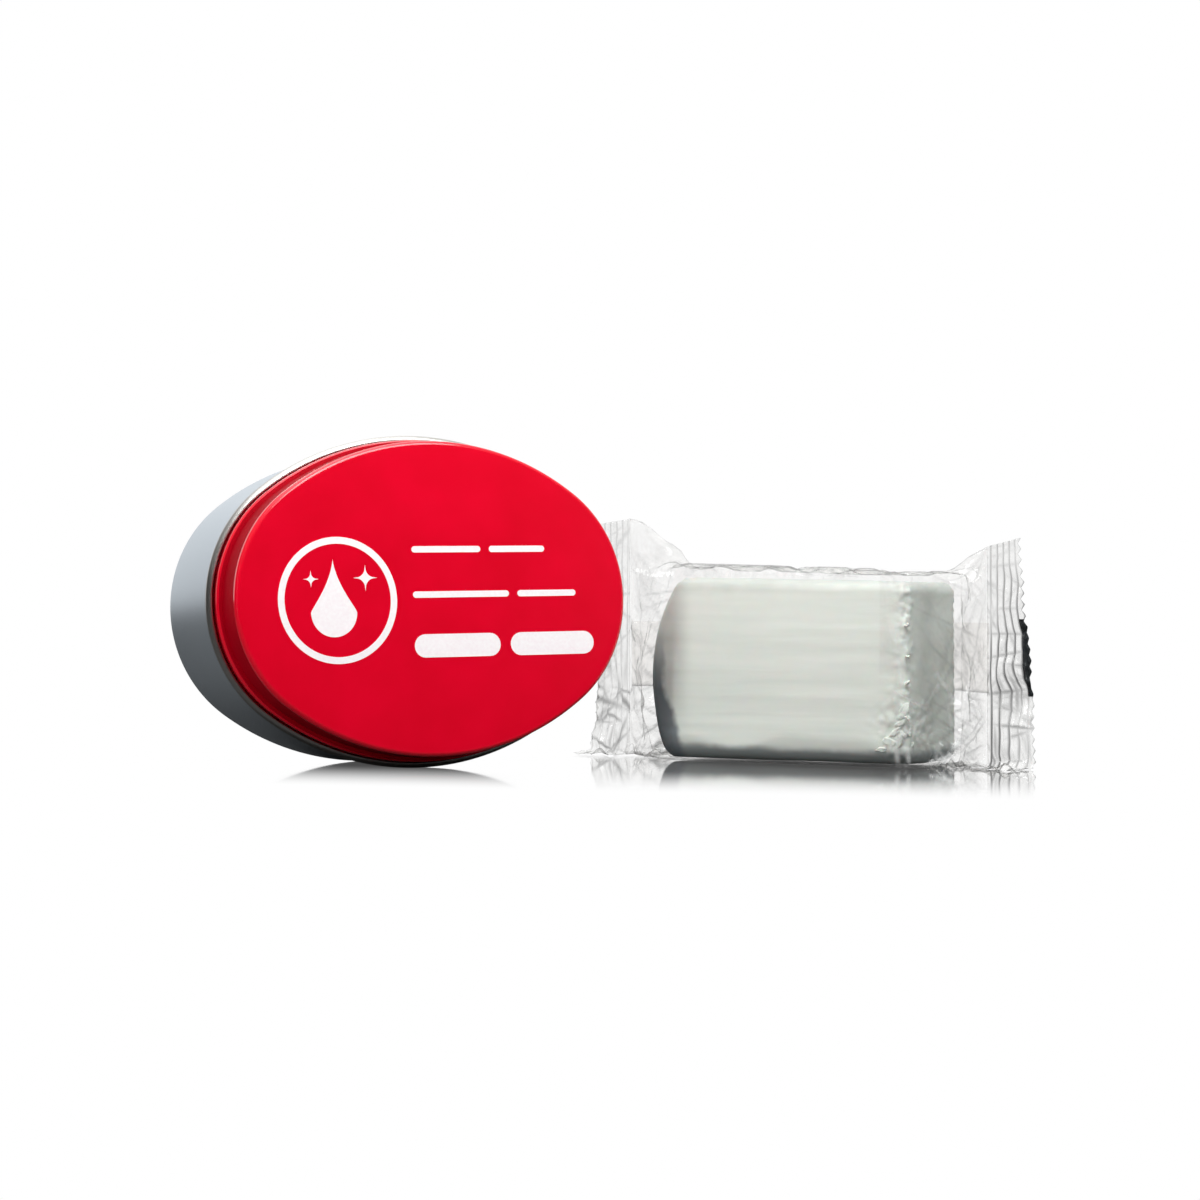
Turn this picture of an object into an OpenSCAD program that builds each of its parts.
/* [Tin] */
// Length of the tin over the lid's curled rim
tin_l = 118.2; // [114:0.1:125]
// Width of the tin over the lid's curled rim
tin_w = 89.8; // [85:0.1:95]
// Depth of the base behind the lid's rim
base_depth = 36.8; // [30:0.1:50]
// Thickness of the tinplate
plate_t = 0.3; // [0.25:0.05:0.35]

/* [Lid] */
// Height of the lid's face in front of its rim
lid_rise = 15.2; // [13:0.1:20]
// Radius of the curl at the lid's rim
curl_r = 1.2; // [1.1:0.05:1.3]
// How far the lid's skirt is set in from the rim
skirt_inset = 2.9; // [2.7:0.1:3.1]
// Radius between the lid's skirt and its face
face_r = 1.1; // [0.8:0.1:2]

/* [Base] */
// How far the base's wall is set in from the rim
wall_inset = 2; // [1.8:0.1:2.3]
// Radius between the base's wall and its bottom
foot_r = 1.5; // [1:0.1:2.5]
// Length of the neck that the lid slips over
neck_l = 9; // [6:0.1:10]
// Gap all round between the neck and the lid
slip_gap = 0.3; // [0.25:0.05:0.4]
// Depth of the stamped panel in the base's bottom
panel_d = 0.6; // [0.4:0.1:1]

/* [Clay] */
// Length of the clay bar
clay_l = 82; // [64:1:90]
// Thickness of the clay bar
clay_t = 32; // [20:1:36]
// Height of the clay bar as it stands
clay_h = 51; // [40:1:56]
// Radius of the clay's edges
clay_r = 3; // [2:0.5:6]
// How far the clay's left end bulges past its upper corner
bulge = 10; // [0:1:12]

/* [Film] */
// Thickness of the film with the air under it
film_t = 0.4; // [0.3:0.05:0.6]
// Slack in the film over the clay's top
slack = 2.5; // [0.5:0.5:4]
// Height of the left end seal
left_h = 69; // [62:1:76]
// Height of the right end seal
right_h = 62; // [60:1:76]
// Length of the tented film between the clay and the left seal
left_tent = 15; // [8:1:24]
// Length of the tented film between the clay and the right seal
right_tent = 16; // [8:1:24]
// Width of each crimped end seal
seal_w = 14; // [10:1:16]
// Number of ribs across a crimped seal
ribs = 5; // [3:1:7]

/* [Placing] */
// Centre of the tin's rim, to the right of the origin
tin_x = -42.5; // [-60:0.1:-40]
// Centre of the tin's rim, behind the origin
tin_y = 24.5; // [10:0.1:30]
// How far the tin has rolled on its long side
tin_roll = 0.8; // [0:0.1:2]
// Middle of the clay bar, to the right of the origin
bar_x = 65.2; // [60:0.1:80]
// Middle of the clay bar, behind the origin
bar_y = 1; // [-15:0.1:5]
// Angle between the tin's long axis and the bar's
bar_turn = -59.5; // [-70:0.1:-50]

/* [Hidden] */
$fa = 3;
$fs = 0.5;

// The rim is an oval of four arcs, which meet on the long sides of four 3-4-5 triangles
step = (tin_l - tin_w) / 4;
end_x = 3 * step;
side_y = 4 * step;
end_r = tin_w / 2 - step;
side_r = end_r + 5 * step;
half_w = tin_w / 2;

// The tin stands on its side, on the lid's curl and the base's rear edge, so it leans back
rear_drop = wall_inset + foot_r - curl_r;
rear_run = base_depth - foot_r;
lean = acos((foot_r - curl_r) / norm([rear_drop, rear_run])) - atan2(rear_run, rear_drop);
tin_lift = (half_w - curl_r) * cos(lean) + curl_r;

// Centrelines of the tinplate, as [offset from the rim oval, distance in front of the rim]
bead_r = 1.5;
bead_crest = 1.7;
bead_at = 3.6;
bead_run = 0.4;
curl_mid = curl_r - plate_t / 2;
lid_wall = -skirt_inset - plate_t / 2;
lid_top = lid_rise - plate_t / 2;
lid_path = concat(
    arc([-curl_r, 0], curl_mid, 460, 180, 18),
    arc([-bead_crest - bead_r, bead_at], bead_r, -75, 85, 8),
    [[lid_wall, bead_at + bead_r + bead_run]],
    arc([lid_wall - face_r, lid_top - face_r], face_r, 0, 90, 6)
);

neck_wall = -skirt_inset - plate_t - slip_gap - plate_t / 2;
mouth_r = 0.85;
shoulder_r = 0.5;
base_wall = -wall_inset - plate_t / 2;
shoulder_z = -curl_r - slip_gap - plate_t;
base_bottom = -base_depth + plate_t / 2;
foot_mid = foot_r - plate_t / 2;
ring_w = 5;
base_path = concat(
    arc([neck_wall - mouth_r, neck_l - mouth_r], mouth_r, 250, 0, 12),
    [[neck_wall, shoulder_z + shoulder_r]],
    arc([base_wall - shoulder_r, shoulder_z - shoulder_r], shoulder_r, 80, 0, 4),
    arc([base_wall - foot_mid, base_bottom + foot_mid], foot_mid, 0, -90, 6),
    [[base_wall - foot_mid - ring_w, base_bottom]],
    [[base_wall - foot_mid - ring_w - panel_d, base_bottom + panel_d]]
);

// The bar stands on its long narrow side, with the film round it
air = 0.3;
clay_z = film_t + air;
corner_r = clay_r + 1;
belly = 0.4;
film_half = clay_t / 2 + air + film_t;
film_top = clay_z + clay_h + slack + film_t;
film_end = clay_l / 2 + air + film_t;
seal_half = 0.5;
film_r = 3.5;
seam_low = 20;
seam_high = 39;
flap_w = 12;
tooth = 1.5;
tooth_slope = 0.9;
rib_d = 0.4;
rib_start = 0.5;
inner_short = 1.5;
tent_curve = 0.85;
tent_steps = 5;
left_x = clay_l / 2 + left_tent;
right_x = clay_l / 2 + right_tent;

function arc(c, r, a0, a1, n) = [for (i = [0:n]) let(a = a0 + (a1 - a0) * i / n) c + r * [cos(a), sin(a)]];
function unit(v) = v / norm(v);
// Normal of a path at one of its points, long enough to keep the sheet's thickness round a bend
function mitre(p, i) =
    let(a = i > 0 ? unit(p[i] - p[i - 1]) : unit(p[1] - p[0]))
    let(b = i < len(p) - 1 ? unit(p[i + 1] - p[i]) : a)
    let(m = unit(a + b))
    [-m[1], m[0]] / (m * a);
function micron(p) = [for (q = p) [round(q[0] * 1000) / 1000, round(q[1] * 1000) / 1000]];
function sheet(p, t) = micron(concat(
    [for (i = [0:len(p) - 1]) p[i] + mitre(p, i) * t / 2],
    [for (i = [len(p) - 1:-1:0]) p[i] - mitre(p, i) * t / 2]
));

// The sheet's section turned about the axis, at this distance from it, with its plate closed to the axis
module turned(radius, path) {
    plate_z = path[len(path) - 1][1];
    rotate_extrude()
        polygon(sheet(concat([for (q = path) [radius + q[0], q[1]]], [[0, plate_z]]), plate_t));
}

// A drawn tinplate shell: each arc of the oval keeps only its own sector
module drawn_oval(path) {
    reach = 20 * step;
    far = 3 * reach;
    deep = 2 * base_depth;
    for (s = [-1, 1]) {
        intersection() {
            translate([s * end_x, 0, 0]) turned(end_r, path);
            translate([0, 0, -deep])
                linear_extrude(2 * deep)
                    polygon(s * [[end_x, 0], [end_x + far, -4 * reach], [end_x + far, 4 * reach]]);
        }
        intersection() {
            translate([0, -s * side_y, 0]) turned(side_r, path);
            translate([0, 0, -deep])
                linear_extrude(2 * deep)
                    polygon(s * [
                        [end_x, 0], [end_x + far, 4 * reach], [-end_x - far, 4 * reach], [-end_x, 0]
                    ]);
        }
    }
}

// The roll turns the tin about the centre of the arc that it stands on
module stand_tin() {
    translate([tin_x, tin_y, tin_lift])
        rotate([90 - lean, 0, 0])
            translate([0, side_y, 0])
                rotate([0, 0, tin_roll])
                    translate([0, -side_y, 0])
                        children();
}

module stand_bar() {
    translate([bar_x, bar_y, 0])
        rotate([0, 0, bar_turn])
            children();
}

module tin_base() {
    color("silver") stand_tin() drawn_oval(base_path);
}

module tin_lid() {
    color("crimson") stand_tin() drawn_oval(lid_path);
}

// A level ring of points round the clay, set in from its sides
function clay_ring(inset, z) =
    let(lean_in = bulge * (((z - clay_z) / clay_h - belly) / (1 - belly)) ^ 2)
    let(left = -clay_l / 2 + lean_in + corner_r)
    let(right = clay_l / 2 - corner_r)
    let(half = clay_t / 2 - corner_r)
    [for (q = concat(
        arc([right, half], corner_r - inset, 0, 90, 6),
        arc([left, half], corner_r - inset, 90, 180, 6),
        arc([left, -half], corner_r - inset, 180, 270, 6),
        arc([right, -half], corner_r - inset, 270, 360, 6))) [q[0], q[1], z]];

// A block with round edges, whose left end bulges a little below half its height
module clay_bar() {
    side_h = clay_h - 2 * clay_r;
    levels = concat(
        arc([clay_r, clay_z + clay_r], clay_r, 270, 180, 5),
        [for (i = [1:7]) [0, clay_z + clay_r + side_h * i / 8]],
        arc([clay_r, clay_z + clay_h - clay_r], clay_r, 180, 90, 5)
    );
    color("gainsboro") stand_bar() loft([for (q = levels) clay_ring(q[0], q[1])]);
}

// How far x has gone from the clay's end, at 0, to the end seal, at 1
function tent(x) = max(0, abs(x) - film_end) / ((x < 0 ? left_x : right_x) - film_end);
// Half the sleeve's thickness at x
function film_side(x) = film_half + (seal_half - film_half) * tent(x) ^ tent_curve;
// A ring of points round the film at x, grown outwards by g
function film_ring(x, g) =
    let(half = film_side(x) + g)
    let(top = film_top + ((x < 0 ? left_h : right_h) - film_top) * tent(x) + g)
    let(r = min(film_r, half * 0.9))
    [for (q = concat(
        arc([half - r, top - r], r, 0, 90, 5),
        arc([r - half, top - r], r, 90, 180, 5),
        arc([r - half, r - g], r, 180, 270, 5),
        arc([half - r, r - g], r, 270, 360, 5))) [x, q[0], q[1]]];

module loft(rings) {
    n = len(rings[0]);
    last = (len(rings) - 1) * n;
    polyhedron(
        points = [for (ring = rings) each ring],
        faces = concat(
            [[for (j = [0:n - 1]) j]],
            [for (i = [0:n:last - n], j = [0:n - 1])
                let(k = (j + 1) % n) [i + j, i + n + j, i + n + k, i + k]],
            [[for (j = [n - 1:-1:0]) last + j]]
        )
    );
}

// Places along the bar from one end seal to the other, this far short of both
function stations(short) =
    let(left = left_x - short)
    let(right = right_x - short)
    concat(
        [for (i = [0:tent_steps]) -left + (left - film_end) * i / tent_steps],
        [for (i = [0:tent_steps]) film_end + (right - film_end) * i / tent_steps]
    );
module film_body(g, short) {
    loft([for (x = stations(short)) film_ring(x, g)]);
}

module film_sleeve() {
    color("azure", 0.3)
        stand_bar()
            difference() {
                film_body(0, 0);
                film_body(-film_t, inner_short);
            }
}

module back_seam() {
    color("azure", 0.4)
        stand_bar()
            loft([for (x = stations(0))
                let(y = film_side(x))
                let(back = y + film_t)
                [[x, y, seam_high], [x, y, seam_low], [x, back, seam_low], [x, back, seam_high]]]);
}

// A crimped fin: a ribbed strip of doubled film with a toothed edge
module end_seal(x, height) {
    ribbed = seal_w - rib_start;
    wave = concat(
        [[x, -rib_d / 2]],
        [for (i = [0:2 * ribs]) [x + rib_start + ribbed * i / (2 * ribs), (i % 2 - 0.5) * rib_d]]
    );
    teeth = floor(height / (2 * tooth));
    over = 0.1;
    half_tooth = tooth * tooth_slope;
    difference() {
        linear_extrude(height) polygon(sheet(wave, 2 * seal_half - rib_d));
        for (i = [0:teeth])
            translate([x + seal_w, 0, 2 * tooth * i])
                rotate([90, 0, 0])
                    linear_extrude(6 * seal_half, center = true)
                        polygon([[over, -half_tooth], [-tooth, 0], [over, half_tooth]]);
    }
}

// The foot of a fin, folded flat on the floor in front of it
module foot_fold(x) {
    translate([x, -flap_w, 0]) cube([seal_w - 2 * tooth, flap_w - seal_half, film_t]);
}

module left_end_seal() {
    color("azure", 0.4) stand_bar() mirror([1, 0, 0]) end_seal(left_x, left_h);
}

module right_end_seal() {
    color("azure", 0.4) stand_bar() end_seal(right_x, right_h);
}

module left_foot_fold() {
    color("azure", 0.4) stand_bar() mirror([1, 0, 0]) foot_fold(left_x);
}

module right_foot_fold() {
    color("azure", 0.4) stand_bar() foot_fold(right_x);
}

tin_base();
tin_lid();
clay_bar();
film_sleeve();
back_seam();
left_end_seal();
right_end_seal();
left_foot_fold();
right_foot_fold();
